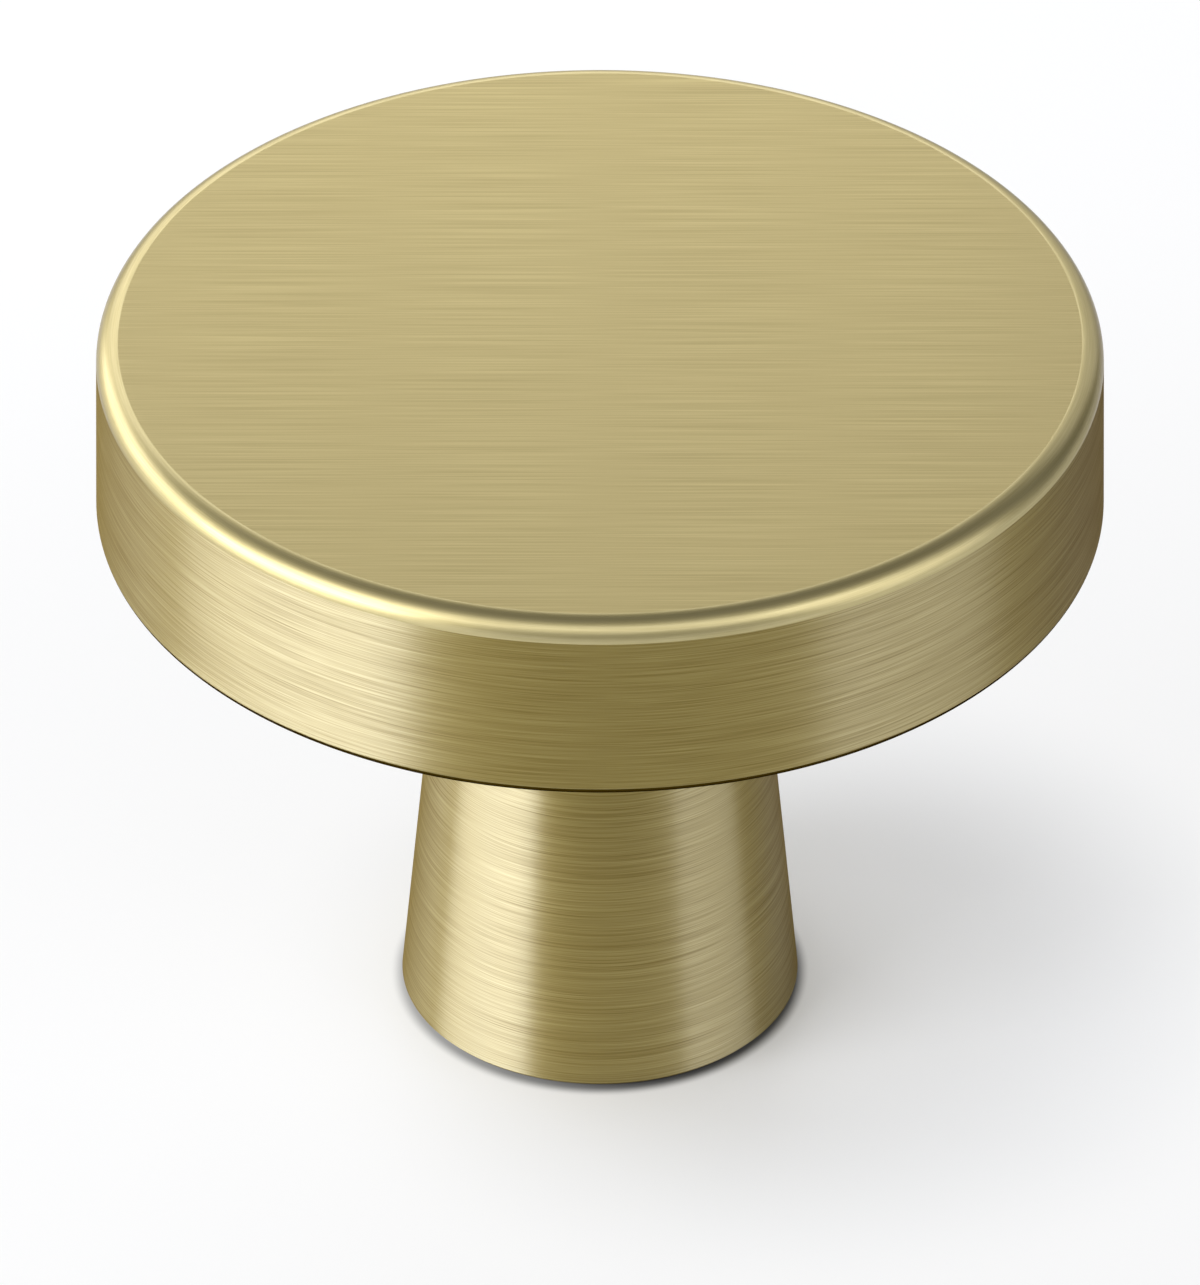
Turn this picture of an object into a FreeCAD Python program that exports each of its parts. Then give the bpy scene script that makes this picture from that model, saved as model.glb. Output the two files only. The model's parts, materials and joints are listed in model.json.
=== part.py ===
"""Round cabinet knob: a thick flat head on a flared stem, turned as one piece of brass.

The knob stands on its base, centred on the origin, with +Z up through the head.
A blind tapping hole runs up the stem from the base, for an M4 machine screw that
comes through the door or drawer front.
"""

import FreeCAD, Part

import math
import os

import Sketcher

# Driving dimensions, in millimetres and degrees: alias, value, meaning.
SIZES = [
    ("head_diameter", 32.0, "widest diameter of the head, at its lower edge"),
    ("head_thickness", 6.35, "height of the head from its underside to its face"),
    ("head_draft", 1.25, "lean of the head's side towards the axis, in degrees"),
    ("face_round", 0.7, "radius between the side and the face"),
    ("lower_round", 0.35, "radius between the side and the underside"),
    ("neck_diameter", 9.4, "stem diameter where it meets the underside"),
    ("neck_round", 0.8, "radius of the inside corner between stem and underside"),
    ("base_diameter", 12.9, "stem diameter at the base"),
    ("base_break", 0.1, "width of the 45 degree break on the sharp edge of the base"),
    ("projection", 24.8, "overall height from the base to the face"),
    ("screw_bore", 3.3, "tapping diameter of the M4 screw hole"),
    ("screw_bore_depth", 14.0, "depth of the full-diameter bore from the base"),
    ("mouth_diameter", 4.5, "diameter of the countersink that leads the screw in"),
    ("mouth_angle", 90.0, "included angle of the countersink, in degrees"),
    ("drill_point", 118.0, "included angle of the drilled end of the bore, in degrees"),
]
SHEET_NAME = "Sizes"
ON_GEOMETRY = 1e-4  # how near an edge lies to the place it is looked for, in mm
ORIGIN_POINT = (-1, 1)  # a sketch's own origin, as a constraint names it


def make_sheet(doc):
    """The spreadsheet that holds every driving dimension under its alias."""
    sheet = doc.addObject("Spreadsheet::Sheet", SHEET_NAME)
    for row, (alias, value, meaning) in enumerate(SIZES, start=1):
        sheet.set(f"A{row}", meaning)
        sheet.set(f"B{row}", str(value))
        sheet.setAlias(f"B{row}", alias)
    doc.recompute()
    return sheet


def origin_plane(body, role):
    """One of the body's own origin planes, such as XZ_Plane."""
    return next(plane for plane in body.Origin.OriginFeatures if plane.Role == role)


def new_sketch(body, name, role):
    """An empty sketch of the body on one of its origin planes."""
    sketch = body.newObject("Sketcher::SketchObject", name)
    sketch.AttachmentSupport = (origin_plane(body, role), [""])
    sketch.MapMode = "FlatFace"
    return sketch


def drive(sketch, constraint, name, formula):
    """Adds a dimension to the sketch and binds it to a formula of the sheet's aliases."""
    index = sketch.addConstraint(constraint)
    sketch.renameConstraint(index, name)
    sketch.setExpression(f"Constraints.{name}", formula)


def side_lean(sheet):
    """How far the head's side leans in over the whole thickness of the head."""
    return sheet.head_thickness * math.tan(math.radians(sheet.head_draft))


def draw_half_section(sketch, sheet):
    """Half of the knob's section: base, flared stem, underside, leaning side, face and axis."""
    head_radius = sheet.head_diameter / 2
    underside = sheet.projection - sheet.head_thickness
    lean = side_lean(sheet)
    corners = [
        (0, 0),
        (sheet.base_diameter / 2, 0),
        (sheet.neck_diameter / 2, underside),
        (head_radius, underside),
        (head_radius - lean, sheet.projection),
        (0, sheet.projection),
    ]
    points = [FreeCAD.Vector(x, y, 0) for x, y in corners]
    for start, end in zip(points, points[1:] + points[:1]):
        sketch.addGeometry(Part.LineSegment(start, end), False)
    base, stem, under, side, face, axis = range(len(points))
    for line in range(len(points)):
        following = (line + 1) % len(points)
        sketch.addConstraint(Sketcher.Constraint("Coincident", line, 2, following, 1))
    sketch.addConstraint(Sketcher.Constraint("Coincident", base, 1, *ORIGIN_POINT))
    sketch.addConstraint(Sketcher.Constraint("Vertical", axis))
    for level in (base, under, face):
        sketch.addConstraint(Sketcher.Constraint("Horizontal", level))
    drive(
        sketch,
        Sketcher.Constraint("DistanceX", *ORIGIN_POINT, base, 2, sheet.base_diameter / 2),
        "base_radius",
        f"{SHEET_NAME}.base_diameter / 2",
    )
    drive(
        sketch,
        Sketcher.Constraint("DistanceX", *ORIGIN_POINT, stem, 2, sheet.neck_diameter / 2),
        "neck_radius",
        f"{SHEET_NAME}.neck_diameter / 2",
    )
    drive(
        sketch,
        Sketcher.Constraint("DistanceX", *ORIGIN_POINT, under, 2, head_radius),
        "head_radius",
        f"{SHEET_NAME}.head_diameter / 2",
    )
    drive(
        sketch,
        Sketcher.Constraint("DistanceY", side, 1, side, 2, sheet.head_thickness),
        "thickness",
        f"{SHEET_NAME}.head_thickness",
    )
    drive(
        sketch,
        Sketcher.Constraint("DistanceX", side, 2, side, 1, lean),
        "lean",
        f"{SHEET_NAME}.head_thickness * tan({SHEET_NAME}.head_draft * 1 deg)",
    )
    drive(
        sketch,
        Sketcher.Constraint("DistanceY", *ORIGIN_POINT, face, 2, sheet.projection),
        "height",
        f"{SHEET_NAME}.projection",
    )


def edge_at(shape, radius, height):
    """The name of the shape's round edge about Z that has this radius and height."""
    for number, edge in enumerate(shape.Edges, start=1):
        curve = edge.Curve
        if not isinstance(curve, Part.Circle):
            continue
        if abs(curve.Radius - radius) > ON_GEOMETRY:
            continue
        if abs(curve.Center.z - height) <= ON_GEOMETRY:
            return f"Edge{number}"
    raise ValueError(f"no round edge of radius {radius} at height {height}")


def dress_edge(body, kind, name, radius, height, alias):
    """A fillet or a chamfer on one of the body's circular edges, its size bound to the alias."""
    size = {"Fillet": "Radius", "Chamfer": "Size"}[kind]
    before = body.Tip
    dressing = body.newObject(f"PartDesign::{kind}", name)
    dressing.Base = (before, [edge_at(before.Shape, radius, height)])
    dressing.setExpression(size, f"{SHEET_NAME}.{alias}")
    body.Document.recompute()


def turn_blank(body, sheet):
    """The knob as it leaves the lathe, with sharp edges and no hole."""
    section = new_sketch(body, "half_section", "XZ_Plane")
    draw_half_section(section, sheet)
    body.Document.recompute()
    blank = body.newObject("PartDesign::Revolution", "turned_blank")
    blank.Profile = section
    blank.ReferenceAxis = (section, ["V_Axis"])
    blank.Angle = 360.0
    body.Document.recompute()


def dress_edges(body, sheet):
    """The rounds of the turned form and the break at its foot, from the face down."""
    head_radius = sheet.head_diameter / 2
    underside = sheet.projection - sheet.head_thickness
    face_radius = head_radius - side_lean(sheet)
    neck_radius = sheet.neck_diameter / 2
    base_radius = sheet.base_diameter / 2
    dress_edge(body, "Fillet", "face_edge", face_radius, sheet.projection, "face_round")
    dress_edge(body, "Fillet", "lower_edge", head_radius, underside, "lower_round")
    dress_edge(body, "Fillet", "neck_corner", neck_radius, underside, "neck_round")
    dress_edge(body, "Chamfer", "base_edge", base_radius, 0, "base_break")


def drill_screw_hole(body, sheet):
    """A blind tapping hole up the stem, countersunk at the base and pointed at its end."""
    centre = new_sketch(body, "screw_hole_centre", "XY_Plane")
    bore_radius = sheet.screw_bore / 2
    circle = Part.Circle(FreeCAD.Vector(), FreeCAD.Vector(0, 0, 1), bore_radius)
    centre.addGeometry(circle, False)
    centre.addConstraint(Sketcher.Constraint("Coincident", 0, 3, *ORIGIN_POINT))
    drive(
        centre,
        Sketcher.Constraint("Radius", 0, bore_radius),
        "bore_radius",
        f"{SHEET_NAME}.screw_bore / 2",
    )
    body.Document.recompute()
    volume_before = body.Tip.Shape.Volume

    hole = body.newObject("PartDesign::Hole", "screw_hole")
    hole.Profile = centre
    hole.Reversed = True
    hole.DepthType = "Dimension"
    hole.DrillPoint = "Angled"
    hole.HoleCutType = "Countersink"
    hole.HoleCutCustomValues = True
    hole.setExpression("Diameter", f"{SHEET_NAME}.screw_bore")
    hole.setExpression("Depth", f"{SHEET_NAME}.screw_bore_depth")
    hole.setExpression("DrillPointAngle", f"{SHEET_NAME}.drill_point * 1 deg")
    hole.setExpression("HoleCutDiameter", f"{SHEET_NAME}.mouth_diameter")
    hole.setExpression("HoleCutCountersinkAngle", f"{SHEET_NAME}.mouth_angle * 1 deg")
    body.Document.recompute()
    removed = volume_before - hole.Shape.Volume
    if removed < math.pi * bore_radius**2 * sheet.screw_bore_depth:
        raise ValueError("the screw hole doesn't reach into the stem")


def make_knob(doc, sheet):
    """The whole knob: a turned blank, its edges rounded and its screw hole drilled."""
    body = doc.addObject("PartDesign::Body", "knob")
    body.Label = "knob"
    turn_blank(body, sheet)
    dress_edges(body, sheet)
    drill_screw_hole(body, sheet)
    return body


def check(doc, bodies):
    """Stops the build at a failed object, a loose sketch, or a body that isn't one solid."""
    for item in doc.Objects:
        if "Invalid" in item.State or "Error" in item.State:
            raise ValueError(f"{item.Name} failed to build: {item.State}")
        if item.isDerivedFrom("Sketcher::SketchObject") and not item.FullyConstrained:
            raise ValueError(f"{item.Name} has a size or a place that nothing sets")
    for body in bodies:
        shape = body.Shape
        if shape.isNull() or not shape.isValid() or len(shape.Solids) != 1:
            raise ValueError(f"{body.Label} isn't one valid solid")


def report(body):
    """One line on a finished body: its true size, its volume and its faces."""
    box = body.Shape.optimalBoundingBox(True, False)
    size = f"{box.XLength:.2f} x {box.YLength:.2f} x {box.ZLength:.2f} mm"
    volume = f"{body.Shape.Volume / 1000:.2f} cm3"
    return f"{body.Label}: {size}, {volume}, {len(body.Shape.Faces)} faces"


def main():
    doc = FreeCAD.newDocument("cabinet_knob")
    sheet = make_sheet(doc)
    bodies = [make_knob(doc, sheet)]
    doc.recompute()
    check(doc, bodies)
    os.makedirs("parts", exist_ok=True)
    for body in bodies:
        body.Shape.exportStep(f"parts/{body.Label}.step")
        print(report(body))


main()
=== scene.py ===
# %% [markdown]
# # A brushed brass cabinet knob
# The real knob is turned from one bar of brass: a thick flat head on a stem that widens to its foot,
# with a tapped hole for the fixing screw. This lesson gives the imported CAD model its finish.
# The CAD model is the frame: it says how large the knob is, and every Blender object is in metres in
# the same place, so nothing is fitted by eye.

# %% Load the frame
import cmath
import json
import math
from collections import namedtuple

import bpy
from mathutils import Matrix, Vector


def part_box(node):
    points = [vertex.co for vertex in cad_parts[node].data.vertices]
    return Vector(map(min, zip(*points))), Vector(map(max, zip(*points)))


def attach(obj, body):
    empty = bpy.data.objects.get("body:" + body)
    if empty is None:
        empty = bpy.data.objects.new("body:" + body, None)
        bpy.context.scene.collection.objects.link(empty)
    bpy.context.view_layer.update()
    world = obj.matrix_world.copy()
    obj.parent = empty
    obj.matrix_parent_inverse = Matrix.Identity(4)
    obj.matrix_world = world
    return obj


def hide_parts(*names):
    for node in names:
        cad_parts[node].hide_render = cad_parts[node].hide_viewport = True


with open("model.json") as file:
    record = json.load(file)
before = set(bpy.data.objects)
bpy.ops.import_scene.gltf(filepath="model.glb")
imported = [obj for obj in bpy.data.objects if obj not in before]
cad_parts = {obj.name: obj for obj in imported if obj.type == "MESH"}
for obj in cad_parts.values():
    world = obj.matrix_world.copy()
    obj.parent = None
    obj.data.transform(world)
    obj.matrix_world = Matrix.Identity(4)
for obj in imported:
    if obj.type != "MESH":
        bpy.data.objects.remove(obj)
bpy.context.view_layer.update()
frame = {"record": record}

MM = 0.001

# %% [markdown]
# ## The camera
# The knob was photographed from 35 degrees above, through a long lens, with no shift: a long lens
# keeps the sides of the head nearly parallel. The place and the lens come from fitting the knob's
# circles to their outlines in the picture, whose long side is its height.

# %% Aim the camera
CAMERA_DISTANCE = 336.2 * MM
CAMERA_HEIGHT = 251.65 * MM
CAMERA_PITCH = math.radians(35.377)
LENS_LENGTH = 360.76
SENSOR_SIDE = 36.0

camera_data = bpy.data.cameras.new("camera")
camera_data.sensor_width = SENSOR_SIDE
camera_data.lens = LENS_LENGTH
camera_data.clip_start = 0.01
camera_data.clip_end = 20.0
camera = bpy.data.objects.new("camera", camera_data)
camera.location = (0, -CAMERA_DISTANCE, CAMERA_HEIGHT)
camera.rotation_euler = (math.pi / 2 - CAMERA_PITCH, 0, 0)
bpy.context.scene.collection.objects.link(camera)
bpy.context.scene.camera = camera
print("camera at", [round(value, 4) for value in camera.location])

# %% [markdown]
# ## The section
# A turned piece is one outline swept round the axis of the lathe, so the outline holds every size.
# It could be read from the CAD mesh, but a mesh has no arcs any more. Here it is drawn again from the
# sizes of the real knob, with true arcs, and then held against the CAD box.
# The outline runs from the bottom of the screw hole, round the foot and the head, to the middle
# of the face, with the brass always on its left.

# %% Sizes of the section, in millimetres
HEAD_RADIUS = 16.0
HEAD_THICKNESS = 6.35
HEAD_DRAFT = math.radians(1.25)
FACE_ROUND = 0.7
LOWER_ROUND = 0.35
NECK_RADIUS = 4.7
NECK_ROUND = 0.8
BASE_RADIUS = 6.45
BASE_BREAK = 0.1
MOUTH_RADIUS = 2.25
BORE_DEPTH = 14.0
DRILL_POINT = math.radians(118)

knob_low, knob_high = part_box("knob")
screw_hole = next(mount for mount in frame["record"]["mounts"] if mount["name"] == "screw_hole")
PROJECTION = round((knob_high.z - knob_low.z) / MM, 3)
BORE_RADIUS = screw_hole["dims"]["r_mm"]
UNDERSIDE = PROJECTION - HEAD_THICKNESS
HEAD_LEAN = HEAD_THICKNESS * math.tan(HEAD_DRAFT)
print("projection", PROJECTION, "bore radius", BORE_RADIUS, "underside at", UNDERSIDE)

# %% [markdown]
# Each corner of the outline has the radius of its round, the finish of that round and the finish of
# the run that leaves it. The edge of the face is eased after brushing, so it is smoother than the
# surfaces it joins. The inside corner at the neck is brushed with the stem. The narrow lip under the
# head, where its lower round faces downwards, gets painted shade: a near-black brass colour for the
# shadow there.

# %% Corners of the outside
# The turned finish also carries painted shade: its brass is far darker than the face's, for the dark
# surroundings the sides mirror.
BRUSHED, TURNED_AND_SHADED, EASED, PAINTED_SHADE_LIP, FACED, TAPPED = range(6)
Corner = namedtuple("Corner", "place round arc_finish finish")


def outside_corners():
    """From the mouth of the screw hole, out over the foot and the head, to the middle of the face."""
    taper = math.atan2(BASE_RADIUS - NECK_RADIUS, UNDERSIDE)
    break_radius = BASE_RADIUS - BASE_BREAK * math.sin(taper)
    return [
        Corner(complex(MOUTH_RADIUS, 0), 0, None, FACED),
        Corner(complex(BASE_RADIUS - BASE_BREAK, 0), 0, None, TURNED_AND_SHADED),
        Corner(complex(break_radius, BASE_BREAK * math.cos(taper)), 0, None, TURNED_AND_SHADED),
        Corner(complex(NECK_RADIUS, UNDERSIDE), NECK_ROUND, TURNED_AND_SHADED, TURNED_AND_SHADED),
        Corner(complex(HEAD_RADIUS, UNDERSIDE), LOWER_ROUND, TURNED_AND_SHADED, TURNED_AND_SHADED),
        Corner(complex(HEAD_RADIUS - HEAD_LEAN, PROJECTION), FACE_ROUND, EASED, BRUSHED),
        Corner(complex(0, PROJECTION), 0, None, None),
    ]


print(len(outside_corners()), "corners outside")

# %% [markdown]
# A strip is a narrow ring of the surface between two rows. Each row keeps the outward normal of the
# true outline, so the finished mesh is lit as a smooth turned surface although it has flat facets.

# %% Cut the outline into strips
# A complex number holds a place of the outline: its real part is the radius, its imaginary part
# the height, and a product with a unit number turns a direction.
Row = namedtuple("Row", "place normal")
Strip = namedtuple("Strip", "start end finish")
ARC_STEP = math.radians(6)
LONGEST_RUN = 2.5


def direction(start, end):
    """The unit number from one place to another."""
    return (end - start) / abs(end - start)


def rounded_corner(before, corner, after):
    """Rows along the arc that rounds a corner."""
    inward = direction(before.place, corner.place)
    onward = direction(corner.place, after.place)
    turn = cmath.phase(onward / inward)
    reach = corner.round * math.tan(abs(turn) / 2)
    normal = inward * -1j
    side = math.copysign(corner.round, turn)
    centre = corner.place - inward * reach - normal * side
    steps = math.ceil(abs(turn) / ARC_STEP)
    turned = [normal * cmath.exp(1j * turn * step / steps) for step in range(steps + 1)]
    return [Row(centre + outward * side, outward) for outward in turned]


def straight_run(start, end):
    """Rows along a straight run, none further apart than LONGEST_RUN."""
    pieces = math.ceil(abs(end - start) / LONGEST_RUN)
    normal = direction(start, end) * -1j
    shares = [piece / pieces for piece in range(pieces + 1)]
    return [Row(start * (1 - share) + end * share, normal) for share in shares]


def outline_strips(corners):
    """All strips along a list of corners."""
    strips = []
    place = corners[0].place
    for before, corner, after in zip(corners, corners[1:], corners[2:] + [None]):
        arc = rounded_corner(before, corner, after) if corner.round else []
        run = straight_run(place, arc[0].place if arc else corner.place)
        for rows, finish in ((run, before.finish), (arc, corner.arc_finish)):
            strips += [Strip(*pair, finish) for pair in zip(rows, rows[1:])]
        place = arc[-1].place if arc else corner.place
    return strips


all_strips = outline_strips(outside_corners())
widest = max(strip.end.place.real for strip in all_strips)
print(len(all_strips), "strips outside, widest radius", round(widest, 3), "mm")
print("CAD radius", round(knob_high.x / MM, 3), "mm")

# %% Paint shade on the lip
# Where the lower round faces down more than this slope, the lip gets painted shade.
LIP_SLOPE = math.sin(math.radians(8))


def with_painted_shade_lip(strip):
    """A strip, with the finish of painted shade where the lower round of the head faces downwards."""
    place, normal = strip.end
    on_edge = place.real > HEAD_RADIUS - LOWER_ROUND and place.imag < UNDERSIDE + LOWER_ROUND
    if on_edge and normal.imag < -LIP_SLOPE:
        return strip._replace(finish=PAINTED_SHADE_LIP)
    return strip


outside = [with_painted_shade_lip(strip) for strip in all_strips]
print(sum(strip.finish == PAINTED_SHADE_LIP for strip in outside), "strips in the lip")

# %% [markdown]
# ## The skin
# One list of faces holds the whole knob. Corners that fall on the same place are welded as they come
# in, so the mesh is closed: the centre of the face, the tip of the drilled hole and the line where
# each ring meets itself need no clean-up later.

# %% Collect welded faces
COLUMNS = 240
WELD_DIGITS = 6
skin = {"places": {}, "faces": [], "finishes": [], "normals": []}
NO_NORMAL = (0, 0, 0)


def weld(point):
    """The number of the vertex at a place in millimetres."""
    key = tuple(round(value, WELD_DIGITS) + 0.0 for value in point)
    return skin["places"].setdefault(key, len(skin["places"]))


def add_face(points, normals, finish):
    """Adds one face, without the corners that fall together."""
    face, kept = [], []
    for point, normal in zip(points, normals):
        number = weld(point)
        if number not in face:
            face.append(number)
            kept.append(normal)
    if len(face) > 2:
        skin["faces"].append(face)
        skin["normals"] += kept
        skin["finishes"].append(finish)


def around(place, column):
    """A place or a normal of the outline, turned to one column of the lathe."""
    angle = 2 * math.pi * (column % COLUMNS) / COLUMNS
    return (place.real * math.cos(angle), place.real * math.sin(angle), place.imag)


def sweep(strips):
    """Sweeps strips round the axis."""
    for start, end, finish in strips:
        for column in range(COLUMNS):
            sides = ((start, column), (start, column + 1), (end, column + 1), (end, column))
            points = [around(row.place, at) for row, at in sides]
            normals = [around(row.normal, at) for row, at in sides]
            add_face(points, normals, finish)


sweep(outside)
print(len(skin["faces"]), "faces outside,", len(skin["places"]), "vertices")

# %% [markdown]
# ## The tapped hole
# An M4 screw has a thread every 0.7 mm, and a tap cuts the same 60 degree groove into the drilled
# wall. A bump could fake it, but the hole is open to view from below, so the groove is real. Its
# rows climb with the screw. Rows that start below the mouth or end above the last thread are pressed
# flat onto those planes, where the weld closes them.
# The tap's tapered lead leaves the last threads shallower.

# %% Shape of the thread
THREAD_PITCH = 0.7
THREAD_RADIUS = 2.0
THREAD_TOP = 12.0
THREAD_LEAD = 1.4
ROOT_WIDTH = THREAD_PITCH / 8
FLANK_SLOPE = math.tan(math.radians(30))
FULL_DEPTH = THREAD_RADIUS - BORE_RADIUS
GROOVE_HALF = ROOT_WIDTH / 2 + FULL_DEPTH * FLANK_SLOPE
FLANK_PARTS = 3


def groove_rows():
    """Places across one pitch, in millimetres from the middle of the groove, bottom to top."""
    stops = [-GROOVE_HALF, -ROOT_WIDTH / 2, ROOT_WIDTH / 2, GROOVE_HALF, THREAD_PITCH - GROOVE_HALF]
    rows = []
    for low, high in zip(stops, stops[1:]):
        rows += [low + (high - low) * part / FLANK_PARTS for part in range(FLANK_PARTS)]
    return rows


def tapped_radius(offset, height):
    """Radius of the wall at a height, offset away from the middle of the nearest groove."""
    depth = (GROOVE_HALF - abs(offset)) / FLANK_SLOPE
    lead = min(max((THREAD_TOP - height) / THREAD_LEAD, 0), 1)
    depth = min(max(depth, 0), FULL_DEPTH) * lead
    countersink = MOUTH_RADIUS - height
    return max(BORE_RADIUS + depth, countersink)


print(len(groove_rows()), "rows in each pitch, groove", round(2 * GROOVE_HALF, 3), "mm wide")

# %% Cut the thread
def helix_point(row, column):
    """The place of a row of the thread on one column, kept between the mouth and the last thread."""
    places = groove_rows()
    turns, part = divmod(row, len(places))
    height = (turns + column / COLUMNS) * THREAD_PITCH + places[part]
    height = min(max(height, 0), THREAD_TOP)
    return around(complex(tapped_radius(places[part], height), height), column)


TURNS_BELOW = 2


def cut_thread():
    """The wall of the hole from its mouth to the end of the thread."""
    per_turn = len(groove_rows())
    top_row = per_turn * math.ceil(THREAD_TOP / THREAD_PITCH + 1)
    for row in range(-TURNS_BELOW * per_turn, top_row):
        for column in range(COLUMNS):
            corners = ((row + 1, column), (row + 1, column + 1), (row, column + 1), (row, column))
            points = [helix_point(*corner) for corner in corners]
            add_face(points, [NO_NORMAL] * 4, TAPPED)


before_thread = len(skin["faces"])
cut_thread()
print(len(skin["faces"]) - before_thread, "faces in the thread")

# %% [markdown]
# Above the thread the drill left a plain wall, and its 118 degree point a cone.

# %% Finish the drilled end
tip_height = BORE_DEPTH + BORE_RADIUS / math.tan(DRILL_POINT / 2)
drilled = [
    Corner(complex(0, tip_height), 0, None, TAPPED),
    Corner(complex(BORE_RADIUS, BORE_DEPTH), 0, None, TAPPED),
    Corner(complex(BORE_RADIUS, THREAD_TOP), 0, None, None),
]
sweep(outline_strips(drilled))
print("the drill's point ends at", round(tip_height, 3), "mm")

# %% [markdown]
# The list becomes one mesh. Edges that turn sharply are marked, so the thread keeps its crests, and
# the turned surfaces get the normals of their true outline.

# %% Make the mesh
SHARP_EDGE = math.radians(25)


def make_knob():
    """The knob's mesh object, riding on the CAD body and standing for the CAD node."""
    mesh = bpy.data.meshes.new("turned_knob")
    places = [Vector(place) * MM for place in skin["places"]]
    mesh.from_pydata(places, [], skin["faces"])
    mesh.polygons.foreach_set("material_index", skin["finishes"])
    mesh.set_sharp_from_angle(angle=SHARP_EDGE)
    mesh.normals_split_custom_set(skin["normals"])
    mesh.validate()
    knob = bpy.data.objects.new("turned_knob", mesh)
    bpy.context.scene.collection.objects.link(knob)
    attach(knob, "root")
    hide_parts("knob")
    return knob


knob = make_knob()
knob.data.calc_loop_triangles()
faces_at_edge = {}
for polygon in knob.data.polygons:
    for edge in polygon.edge_keys:
        faces_at_edge[edge] = faces_at_edge.get(edge, 0) + 1
print(len(knob.data.loop_triangles), "triangles")
print("edges without two faces:", sum(count != 2 for count in faces_at_edge.values()))

# %% [markdown]
# ## Helpers for shaders
# Node trees read best when each node is made and wired in one line.

# %% Add nodes by name
def add_node(tree, kind, **settings):
    """A new node, with its settings given by name."""
    node = tree.nodes.new(kind)
    for name, value in settings.items():
        setattr(node, name, value)
    return node


def math_node(tree, operation, *values):
    """A Math node whose inputs are numbers or sockets, as its output socket."""
    node = add_node(tree, "ShaderNodeMath", operation=operation)
    for socket, value in zip(node.inputs, values):
        if isinstance(value, bpy.types.NodeSocket):
            tree.links.new(value, socket)
        else:
            socket.default_value = value
    return node.outputs[0]


def new_group(name, inputs, outputs):
    """A shader node group with named sockets, and its input and output nodes."""
    tree = bpy.data.node_groups.new(name, "ShaderNodeTree")
    for label, kind, value in inputs:
        socket = tree.interface.new_socket(label, in_out="INPUT", socket_type=kind)
        if value is not None:
            socket.default_value = value
    for label, kind in outputs:
        tree.interface.new_socket(label, in_out="OUTPUT", socket_type=kind)
    return tree, add_node(tree, "NodeGroupInput"), add_node(tree, "NodeGroupOutput")


print("shader helpers ready")

# %% [markdown]
# ## The brushed grain
# An abrasive belt leaves fine lines, all one way. Across the lines the surface changes every few
# hundredths of a millimetre, and along them hardly at all. Noise that is stretched along the lines
# gives exactly that. The group takes a position whose X and Y lie along the lines and whose Z lies
# across them, in millimetres, so the same group serves the straight grain of the face and the round
# grain of the sides.

# %% Build the grain group
# Scale and detail of the fine and the broad noise, and how much the broad one adds.
FINE_NOISE = (1.0, 3.0)
BROAD_NOISE = (0.12, 2.0)
BROAD_WEIGHT = 0.15


def build_grain():
    """Node group: stretched noise as fine lines, and the crests among them."""
    tree, given, result = new_group(
        "brushed_grain",
        [
            ("Position", "NodeSocketVector", None),
            ("Line Length", "NodeSocketFloat", 4.0),
            ("Line Width", "NodeSocketFloat", 0.05),
            ("Share", "NodeSocketFloat", 0.5),
            ("Contrast", "NodeSocketFloat", 2.0),
        ],
        [("Lines", "NodeSocketFloat"), ("Crests", "NodeSocketFloat")],
    )
    stretch = add_node(tree, "ShaderNodeCombineXYZ")
    tree.links.new(given.outputs["Line Length"], stretch.inputs["X"])
    tree.links.new(given.outputs["Line Length"], stretch.inputs["Y"])
    tree.links.new(given.outputs["Line Width"], stretch.inputs["Z"])
    divide = add_node(tree, "ShaderNodeVectorMath", operation="DIVIDE")
    tree.links.new(given.outputs["Position"], divide.inputs[0])
    tree.links.new(stretch.outputs["Vector"], divide.inputs[1])
    noises = []
    for scale, detail in (FINE_NOISE, BROAD_NOISE):
        noise = add_node(tree, "ShaderNodeTexNoise")
        noise.inputs["Scale"].default_value = scale
        noise.inputs["Detail"].default_value = detail
        tree.links.new(divide.outputs["Vector"], noise.inputs["Vector"])
        noises.append(math_node(tree, "SUBTRACT", noise.outputs["Fac"], 0.5))
    fine, broad = noises
    tree.links.new(fine, result.inputs["Lines"])
    both = math_node(tree, "ADD", fine, math_node(tree, "MULTIPLY", broad, BROAD_WEIGHT))
    raised = math_node(tree, "MULTIPLY", both, given.outputs["Contrast"])
    crests = math_node(tree, "ADD", raised, given.outputs["Share"])
    limited = math_node(tree, "MAXIMUM", math_node(tree, "MINIMUM", crests, 1.0), 0.0)
    tree.links.new(limited, result.inputs["Crests"])
    return tree


grain_group = build_grain()
print("grain group has", len(grain_group.nodes), "nodes")

# %% [markdown]
# ## Positions along and across the lines
# On the face the lines run along X. On the turned surfaces they run round the axis, so the distance
# across them is the height less the radius: it grows along the outline everywhere, on the stem,
# on the underside and over the rounds.

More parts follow.
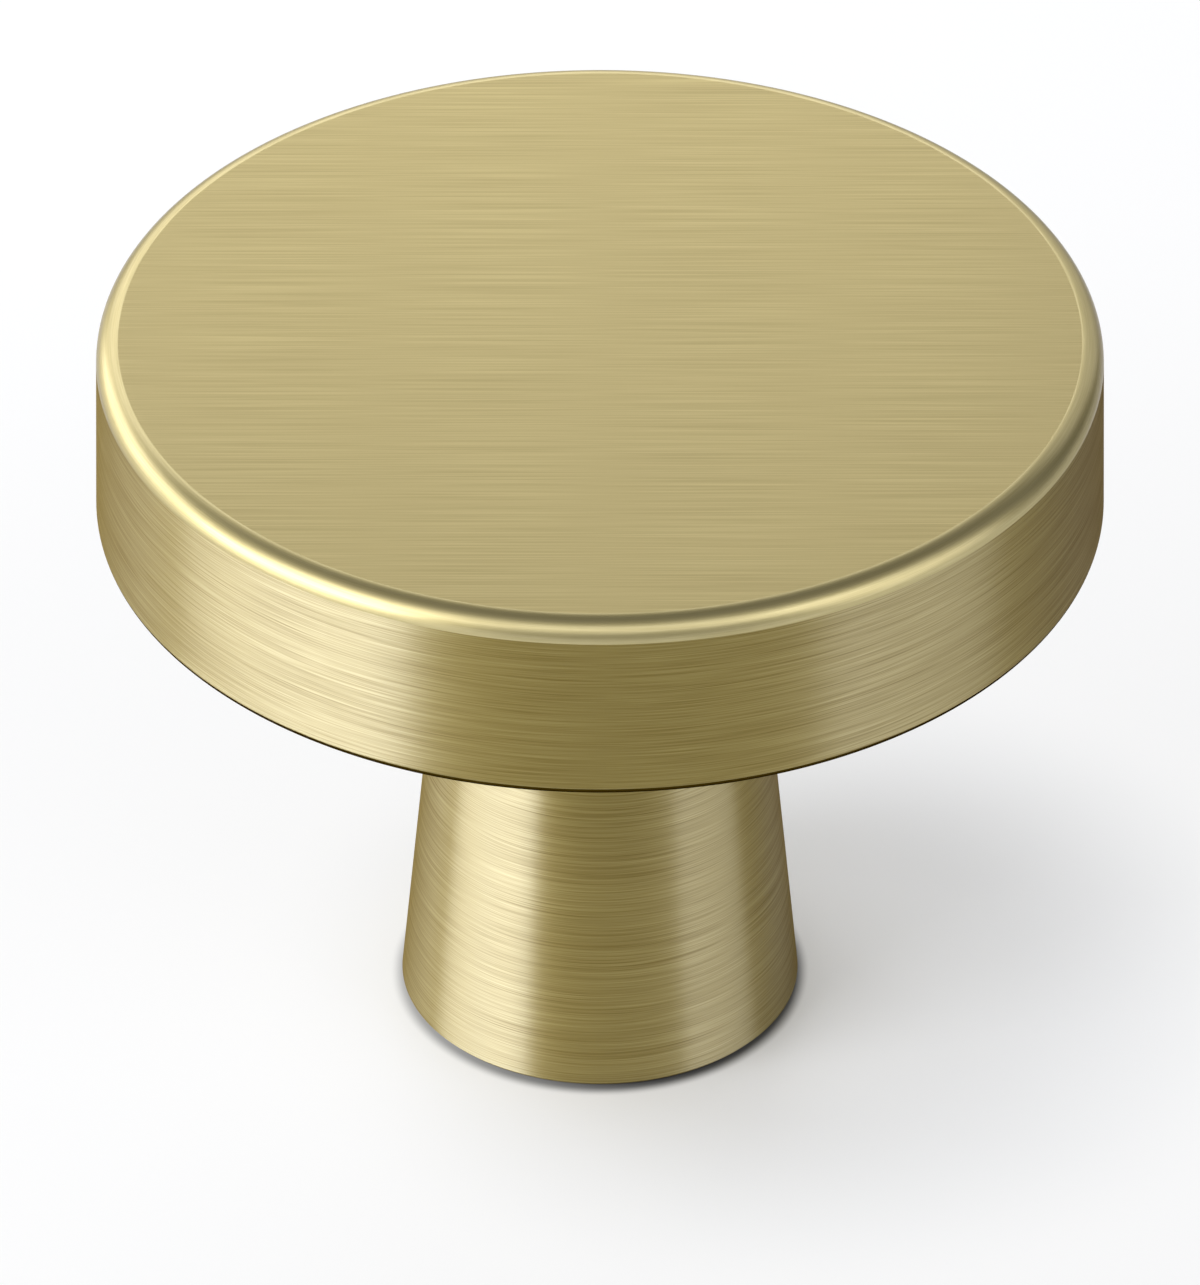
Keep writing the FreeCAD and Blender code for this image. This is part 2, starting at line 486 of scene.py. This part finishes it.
# %% Build the two position groups
def build_position(name, turned):
    """Node group: position in millimetres, X and Y along the lines, Z across them."""
    tree, _given, result = new_group(name, [], [("Position", "NodeSocketVector")])
    coordinates = add_node(tree, "ShaderNodeTexCoord")
    parts = add_node(tree, "ShaderNodeSeparateXYZ")
    tree.links.new(coordinates.outputs["Object"], parts.inputs["Vector"])
    x, y, z = (math_node(tree, "MULTIPLY", parts.outputs[axis], 1 / MM) for axis in "XYZ")
    joined = add_node(tree, "ShaderNodeCombineXYZ")
    tree.links.new(x, joined.inputs["X"])
    if turned:
        x_squared = math_node(tree, "MULTIPLY", x, x)
        y_squared = math_node(tree, "MULTIPLY", y, y)
        radius = math_node(tree, "SQRT", math_node(tree, "ADD", x_squared, y_squared))
        across = math_node(tree, "SUBTRACT", z, radius)
        tree.links.new(y, joined.inputs["Y"])
    else:
        across = y
    tree.links.new(across, joined.inputs["Z"])
    tree.links.new(joined.outputs["Vector"], result.inputs["Position"])
    return tree


straight_position = build_position("straight_position", turned=False)
round_position = build_position("round_position", turned=True)
print("position groups:", straight_position.name, round_position.name)

# %% [markdown]
# ## The brass
# Brushing leaves two kinds of metal side by side. The crests between the scratches are burnished:
# they are pale and keep a soft highlight that is drawn out across the lines. In the valleys light
# bounces more than once, so they look like deeper gold and spread it nearly all ways. The grain
# mixes the two, line by line, in both the colour and the roughness. On the turned sides the upper
# flanks of the grooves are a third part: a second shader, paler and smoother, whose normal leans
# upwards to the lamps, and the same grain sets its share. That is why a brushed highlight has ragged
# ends and turns paler than the metal round it.

# %% Mix valley and crest
Metal = namedtuple("Metal", "color roughness")
QUARTER_TURN = 0.25


def mix_metal(tree, shader, mask, valley, crest):
    """Drives colour and roughness of the shader from valley to crest."""
    color = add_node(tree, "ShaderNodeMix", data_type="RGBA")
    color.inputs["A"].default_value = (*valley.color, 1)
    color.inputs["B"].default_value = (*crest.color, 1)
    tree.links.new(mask, color.inputs["Factor"])
    tree.links.new(color.outputs["Result"], shader.inputs["Base Color"])
    span = math_node(tree, "MULTIPLY", mask, crest.roughness - valley.roughness)
    tree.links.new(math_node(tree, "ADD", span, valley.roughness), shader.inputs["Roughness"])


def set_tangent(tree, shader, turned):
    """Draws highlights out across the lines of the grain."""
    if turned:
        tangent = add_node(tree, "ShaderNodeTangent", direction_type="RADIAL", axis="Z")
        shader.inputs["Anisotropic Rotation"].default_value = QUARTER_TURN
    else:
        tangent = add_node(tree, "ShaderNodeCombineXYZ")
        tangent.inputs["Y"].default_value = 1.0
    tree.links.new(tangent.outputs[0], shader.inputs["Tangent"])


print("each metal has", Metal._fields)

# %% Add the flanks of the grooves
EDGE_TINT = (0.18, 0.13, 0.04, 1)
Flank = namedtuple("Flank", "color roughness anisotropy tilt share")
VALLEY_SHARE = 0.5


def leaned_normal(tree, tilt):
    """The surface's own normal, leaned upwards by an angle."""
    surface = add_node(tree, "ShaderNodeNewGeometry")
    lean = add_node(tree, "ShaderNodeVectorMath", operation="ADD")
    lean.inputs[1].default_value = (0, 0, math.tan(tilt))
    tree.links.new(surface.outputs["Normal"], lean.inputs[0])
    unit = add_node(tree, "ShaderNodeVectorMath", operation="NORMALIZE")
    tree.links.new(lean.outputs["Vector"], unit.inputs[0])
    return unit.outputs["Vector"]


def add_flanks(tree, shader, flank, turned, crests):
    """Mixes in the upper flanks of the grooves as a second, paler shader."""
    bright = add_node(tree, "ShaderNodeBsdfPrincipled")
    bright.inputs["Base Color"].default_value = (*flank.color, 1)
    bright.inputs["Metallic"].default_value = 1.0
    bright.inputs["Roughness"].default_value = flank.roughness
    bright.inputs["Anisotropic"].default_value = flank.anisotropy
    bright.inputs["Specular Tint"].default_value = EDGE_TINT
    tree.links.new(leaned_normal(tree, flank.tilt), bright.inputs["Normal"])
    set_tangent(tree, bright, turned)
    both = add_node(tree, "ShaderNodeMixShader")
    share = math_node(tree, "MULTIPLY_ADD", crests, flank.share, flank.share * VALLEY_SHARE)
    tree.links.new(share, both.inputs["Fac"])
    tree.links.new(shader.outputs["BSDF"], both.inputs[1])
    tree.links.new(bright.outputs["BSDF"], both.inputs[2])
    tree.links.new(both.outputs["Shader"], tree.nodes["Material Output"].inputs["Surface"])


print("each flank has", Flank._fields)

# %% Build one brass material
Grain = namedtuple("Grain", "position length width share contrast")
COAT_ROUGHNESS = 0.25


def brass_material(name, grain, valley, crest, anisotropy, coat, bump_height, flank=None):
    """Brass with valleys and crests laid out by the grain of one surface."""
    material = bpy.data.materials.new(name)
    material.use_nodes = True
    tree = material.node_tree
    shader = tree.nodes["Principled BSDF"]
    shader.inputs["Metallic"].default_value = 1.0
    shader.inputs["Anisotropic"].default_value = anisotropy
    shader.inputs["Coat Weight"].default_value = coat
    shader.inputs["Coat Roughness"].default_value = COAT_ROUGHNESS
    shader.inputs["Specular Tint"].default_value = EDGE_TINT
    position = add_node(tree, "ShaderNodeGroup", node_tree=grain.position)
    lines = add_node(tree, "ShaderNodeGroup", node_tree=grain_group)
    lines.inputs["Line Length"].default_value = grain.length
    lines.inputs["Line Width"].default_value = grain.width
    lines.inputs["Share"].default_value = grain.share
    lines.inputs["Contrast"].default_value = grain.contrast
    tree.links.new(position.outputs["Position"], lines.inputs["Position"])
    mix_metal(tree, shader, lines.outputs["Crests"], valley, crest)
    bump = add_node(tree, "ShaderNodeBump")
    bump.inputs["Distance"].default_value = bump_height * MM
    tree.links.new(lines.outputs["Lines"], bump.inputs["Height"])
    tree.links.new(bump.outputs["Normal"], shader.inputs["Normal"])
    turned = grain.position == round_position
    set_tangent(tree, shader, turned)
    if flank:
        add_flanks(tree, shader, flank, turned, lines.outputs["Crests"])
    return material


print("each grain has", Grain._fields)

# %% Make the six finishes
finishes = [
    brass_material(
        "brushed_face_brass",
        Grain(straight_position, 7.0, 0.045, 0.5, 3.2),
        valley=Metal((0.58, 0.48, 0.215), 0.50),
        crest=Metal((0.69, 0.585, 0.28), 0.44),
        anisotropy=0.8, coat=0.35, bump_height=0.001,
    ),
    # Partly painted shade: the sides' grain is real, but their brass is made far darker than the
    # face's to stand for the dark surroundings they mirror.
    brass_material(
        "turned_side_painted_shade_brass",
        Grain(round_position, 4.0, 0.04, 0.5, 1.6),
        valley=Metal((0.188, 0.125, 0.008), 0.60),
        crest=Metal((0.360, 0.272, 0.038), 0.48),
        anisotropy=0.6, coat=0.0, bump_height=0.001,
        flank=Flank((0.95, 0.93, 0.78), 0.30, 0.5, math.radians(22), 0.145),
    ),
    brass_material(
        "eased_edge_brass",
        Grain(round_position, 2.5, 0.05, 0.5, 1.4),
        valley=Metal((0.47, 0.395, 0.17), 0.43),
        crest=Metal((0.60, 0.520, 0.27), 0.36),
        anisotropy=0.3, coat=0.8, bump_height=0.0005,
    ),
    # Painted shade: the lip's near-black brass stands for the shadow that falls under the head.
    brass_material(
        "lip_painted_shade_brass",
        Grain(round_position, 2.5, 0.05, 0.5, 1.0),
        valley=Metal((0.04, 0.025, 0.002), 0.50),
        crest=Metal((0.08, 0.056, 0.009), 0.42),
        anisotropy=0.3, coat=0.0, bump_height=0.0005,
    ),
    brass_material(
        "faced_base_brass",
        Grain(round_position, 2.0, 0.08, 0.5, 2.0),
        valley=Metal((0.42, 0.34, 0.14), 0.50),
        crest=Metal((0.54, 0.45, 0.21), 0.38),
        anisotropy=0.5, coat=0.0, bump_height=0.002,
    ),
    brass_material(
        "tapped_hole_brass",
        Grain(round_position, 1.0, 0.08, 0.5, 2.0),
        valley=Metal((0.42, 0.34, 0.14), 0.45),
        crest=Metal((0.54, 0.45, 0.21), 0.32),
        anisotropy=0.3, coat=0.0, bump_height=0.002,
    ),
]
for finish in finishes:
    knob.data.materials.append(finish)
print("finishes:", [finish.name for finish in finishes])

# %% [markdown]
# ## The floor
# The knob stands on a pale, slightly soft surface whose far side runs out of the picture into white.
# The floor's own material is part light and part paint: a share of it looks plain white to the
# camera and in reflections, and the rest is ordinary paint, which takes the shadow. Lamps strong
# enough to whiten the paint alone would burn out the brass.
# The white share is nothing where the shadow of the foot falls, and it grows outwards from there.
# Beyond the picture it fades again, so the front of the head mirrors a dimmer floor. A narrow ring
# of darker paint deepens the shadow where the foot meets the floor.

# %% Make masks for the floor
def seen_directly(tree):
    """1 for rays from the camera, mirrors and glass, 0 for rays that gather light."""
    rays = add_node(tree, "ShaderNodeLightPath").outputs
    mirrored = math_node(tree, "MAXIMUM", rays["Is Glossy Ray"], rays["Is Transmission Ray"])
    return math_node(tree, "MAXIMUM", rays["Is Camera Ray"], mirrored)


def reach(tree, centre, near, far):
    """0 up to the first distance from a centre on the floor, rising smoothly to 1 at the second."""
    coordinates = add_node(tree, "ShaderNodeTexCoord")
    distance = add_node(tree, "ShaderNodeVectorMath", operation="DISTANCE")
    distance.inputs[1].default_value = centre
    tree.links.new(coordinates.outputs["Object"], distance.inputs[0])
    rise = add_node(tree, "ShaderNodeMapRange", interpolation_type="SMOOTHSTEP")
    rise.inputs["From Min"].default_value = near
    rise.inputs["From Max"].default_value = far
    tree.links.new(distance.outputs["Value"], rise.inputs["Value"])
    return rise.outputs["Result"]


print("masks for the floor ready")

# %% Paint the floor
WHITE_SHARE = 0.72
SHADE_CENTRE = (6 * MM, 0, 0)
SHADE_RADIUS = 7 * MM
OPEN_RADIUS = 18 * MM
POOL_CENTRE = (0, 17 * MM, 0)
POOL_RADIUS = 45 * MM
POOL_END = 70 * MM
FOOT_CENTRE = (0, 0, 0)
CONTACT_INNER = 6.35 * MM
CONTACT_OUTER = 6.85 * MM
CONTACT_SHADOW_PAINT = (0.13, 0.13, 0.13, 1)
FLOOR_PAINT = (0.86, 0.875, 0.91, 1)
PAINT_ROUGHNESS = 0.5


def floor_material():
    """Pale paint with a share of plain white, open from below."""
    material = bpy.data.materials.new("pale_floor")
    material.use_nodes = True
    tree = material.node_tree
    paint = tree.nodes["Principled BSDF"]
    # Painted shadow: dark paint in a ring round the foot deepens the foot's contact shadow.
    contact = add_node(tree, "ShaderNodeMix", data_type="RGBA")
    contact.inputs["A"].default_value = CONTACT_SHADOW_PAINT
    contact.inputs["B"].default_value = FLOOR_PAINT
    outward = reach(tree, FOOT_CENTRE, CONTACT_INNER, CONTACT_OUTER)
    tree.links.new(outward, contact.inputs["Factor"])
    tree.links.new(contact.outputs["Result"], paint.inputs["Base Color"])
    paint.inputs["Roughness"].default_value = PAINT_ROUGHNESS
    white = add_node(tree, "ShaderNodeEmission")
    white.inputs["Strength"].default_value = 1.0
    whitened = add_node(tree, "ShaderNodeMixShader")
    opened = reach(tree, SHADE_CENTRE, SHADE_RADIUS, OPEN_RADIUS)
    dimmed = reach(tree, POOL_CENTRE, POOL_RADIUS, POOL_END)
    pool = math_node(tree, "MULTIPLY", opened, math_node(tree, "SUBTRACT", 1.0, dimmed))
    share = math_node(tree, "MULTIPLY", pool, WHITE_SHARE)
    seen_share = math_node(tree, "MULTIPLY", seen_directly(tree), share)
    tree.links.new(seen_share, whitened.inputs["Fac"])
    tree.links.new(paint.outputs["BSDF"], whitened.inputs[1])
    tree.links.new(white.outputs["Emission"], whitened.inputs[2])
    clear = add_node(tree, "ShaderNodeBsdfTransparent")
    side = add_node(tree, "ShaderNodeNewGeometry")
    one_sided = add_node(tree, "ShaderNodeMixShader")
    tree.links.new(side.outputs["Backfacing"], one_sided.inputs["Fac"])
    tree.links.new(whitened.outputs["Shader"], one_sided.inputs[1])
    tree.links.new(clear.outputs["BSDF"], one_sided.inputs[2])
    tree.links.new(one_sided.outputs["Shader"], tree.nodes["Material Output"].inputs["Surface"])
    return material


print("the floor is at most", WHITE_SHARE, "white")

# %% Lay the floor
FLOOR_HALF = 2.0
FLOOR_GAP = 0.12 * MM


def make_floor():
    """A wide pale floor just under the knob."""
    mesh = bpy.data.meshes.new("floor")
    signs = [(-1, -1), (1, -1), (1, 1), (-1, 1)]
    corners = [(x * FLOOR_HALF, y * FLOOR_HALF, -FLOOR_GAP) for x, y in signs]
    mesh.from_pydata(corners, [], [(0, 1, 2, 3)])
    mesh.materials.append(floor_material())
    floor = bpy.data.objects.new("floor", mesh)
    bpy.context.scene.collection.objects.link(floor)
    return floor


floor = make_floor()
print(floor.name, "laid", round(FLOOR_GAP / MM, 2), "mm under the knob")

# %% [markdown]
# ## The light
# Large soft boxes stand round the knob like the walls of a light tent. The strong one is low on the
# left and brighter in its core: it makes the pale band down the left of the head and stem, and the
# shadow on the right. A wing carries it on towards the back, and a weaker box answers it on the
# right. Three boxes high in front light the rounded edge of the face. Behind, a wide wall and a
# nearer glow shine along the face towards the camera.
# Each box is given by the angles it fills as seen from the knob, by its distance in metres, and by
# how bright it looks, where 1 is white.

# %% Hang the lamps
AIM_HEIGHT = 12 * MM
SoftBox = namedtuple("SoftBox", "name azimuth elevation width height distance brightness")
SOFT_BOXES = [
    SoftBox("left_box", -68, 13, 56, 24, 0.5, 4.8),
    SoftBox("left_core", -68, 13, 20, 24, 0.5, 5.4),
    SoftBox("left_wing", -122, 16, 40, 30, 0.5, 3.0),
    SoftBox("right_box", 68, 13, 42, 24, 0.5, 1.65),
    SoftBox("front_left", -60, 36, 36, 18, 0.5, 2.4),
    SoftBox("front_right", 60, 36, 36, 18, 0.5, 1.4),
    SoftBox("front_box", 0, 46, 90, 32, 0.5, 1.6),
    SoftBox("back_wall", 180, 26, 90, 50, 0.20, 0.70),
    SoftBox("back_glow", -168, 32, 44, 30, 0.11, 1.35),
]


def hang(soft_box):
    """A rectangular lamp aimed at the knob; azimuth 0 is in front, 90 on the right."""
    lamp = bpy.data.lights.new(soft_box.name, "AREA")
    lamp.shape = "RECTANGLE"
    lamp.size = 2 * soft_box.distance * math.tan(math.radians(soft_box.width / 2))
    lamp.size_y = 2 * soft_box.distance * math.tan(math.radians(soft_box.height / 2))
    lamp.energy = math.pi * lamp.size * lamp.size_y * soft_box.brightness
    box = bpy.data.objects.new(soft_box.name, lamp)
    azimuth, elevation = math.radians(soft_box.azimuth), math.radians(soft_box.elevation)
    level = math.cos(elevation)
    toward = Vector((math.sin(azimuth) * level, -math.cos(azimuth) * level, math.sin(elevation)))
    box.location = Vector((0, 0, AIM_HEIGHT)) + toward * soft_box.distance
    box.rotation_euler = toward.to_track_quat("Z", "Y").to_euler()
    box.visible_camera = False
    bpy.context.scene.collection.objects.link(box)
    return box


boxes = [hang(soft_box) for soft_box in SOFT_BOXES]
print("lamps:", [box.name for box in boxes])

# %% Light the room
ROOM_LIGHT = 0.15


def make_world():
    """A plain grey room, the same for the camera and for every other ray."""
    world = bpy.data.worlds.new("studio")
    world.use_nodes = True
    backdrop = world.node_tree.nodes["Background"]
    backdrop.inputs["Color"].default_value = (1, 1, 1, 1)
    backdrop.inputs["Strength"].default_value = ROOM_LIGHT
    return world


bpy.context.scene.world = make_world()
bpy.context.scene.view_settings.view_transform = "Standard"
print("room light", ROOM_LIGHT)
